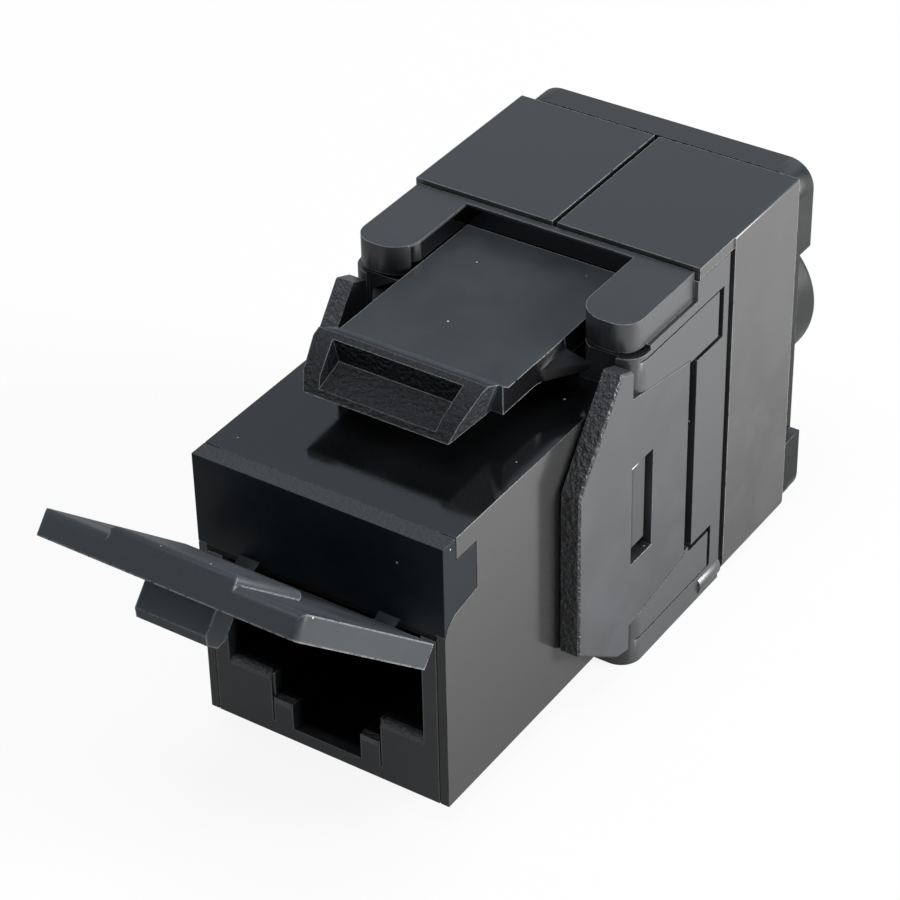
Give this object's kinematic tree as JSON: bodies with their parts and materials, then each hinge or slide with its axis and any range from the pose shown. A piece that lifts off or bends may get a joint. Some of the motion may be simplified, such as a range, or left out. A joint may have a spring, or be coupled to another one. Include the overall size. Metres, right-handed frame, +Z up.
{
  "type": "keystone jack",
  "caption": "Black moulded network jack for a keystone opening, with an open dust flap, a sprung top latch, side clips and two hinged rear covers.",
  "frame": {"origin": "middle of the underside of the keystone frame, on the plane it rests on", "axes": "+X across the jack to the right seen from the plug side, +Y from the plug opening towards the cable end, +Z up, out through the latch side"},
  "size_m": [0.0174, 0.0483, 0.0214],
  "materials": {
    "housing_gloss": "moulded black, glossy",
    "port_matte": "moulded black, matte",
    "panel_satin": "moulded black, satin",
    "flap_matte": "moulded black, matte",
    "frame_satin": "moulded black, satin gloss",
    "latch_satin": "moulded black, satin with a rough lip",
    "clip_satin": "moulded black, satin with rough edges",
    "cover_gloss": "moulded black, glossy",
    "cap_satin": "moulded black, satin",
    "carrier_plastic": "moulded dark grey",
    "block_plastic": "moulded dark grey",
    "board_laminate": "green circuit board",
    "contact_gold": "gold-plated spring wire",
    "blade_tin": "tinned bronze sheet",
    "pin_steel": "plain steel pin"
  },
  "bodies": {
    "body": {"front_housing": "housing_gloss", "port_insert": "port_matte", "front_panel": "panel_satin", "flap_hinge_pin": "pin_steel", "keystone_frame": "frame_satin", "right_side_clip": "clip_satin", "left_side_clip": "clip_satin", "right_cover_pin": "pin_steel", "left_cover_pin": "pin_steel", "rear_cap": "cap_satin", "contact_carrier": "carrier_plastic", "circuit_board": "board_laminate", "idc_block": "block_plastic", "contact_spring_1": "contact_gold", "contact_spring_2": "contact_gold", "contact_spring_3": "contact_gold", "contact_spring_4": "contact_gold", "contact_spring_5": "contact_gold", "contact_spring_6": "contact_gold", "contact_spring_7": "contact_gold", "contact_spring_8": "contact_gold", "right_idc_blade_1": "blade_tin", "left_idc_blade_1": "blade_tin", "right_idc_blade_2": "blade_tin", "left_idc_blade_2": "blade_tin", "right_idc_blade_3": "blade_tin", "left_idc_blade_3": "blade_tin", "right_idc_blade_4": "blade_tin", "left_idc_blade_4": "blade_tin"},
    "flap": {"dust_flap": "flap_matte"},
    "latch": {"latch_lever": "latch_satin"},
    "right_wing": {"right_cover": "cover_gloss"},
    "left_wing": {"left_cover": "cover_gloss"}
  },
  "joints": [
    {"name": "flap_hinge", "type": "hinge", "parent": "body", "child": "flap", "pos_m": [0, -0.02055, 0.0113], "axis": [1, 0, 0], "range_deg": [-15, 130.8]},
    {"name": "latch_press", "type": "hinge", "parent": "body", "child": "latch", "pos_m": [0, -0.0003, 0.0184], "axis": [1, 0, 0], "range_deg": [0, 5], "stiffness_Nm_per_rad": 0.4},
    {"name": "right_cover_hinge", "type": "hinge", "parent": "body", "child": "right_wing", "pos_m": [0.00792, 0.0085, 0.00075], "axis": [0, 1, 0], "range_deg": [0, 90]},
    {"name": "left_cover_hinge", "type": "hinge", "parent": "body", "child": "left_wing", "pos_m": [-0.00792, 0.0085, 0.00075], "axis": [0, -1, 0], "range_deg": [0, 90]}
  ]
}
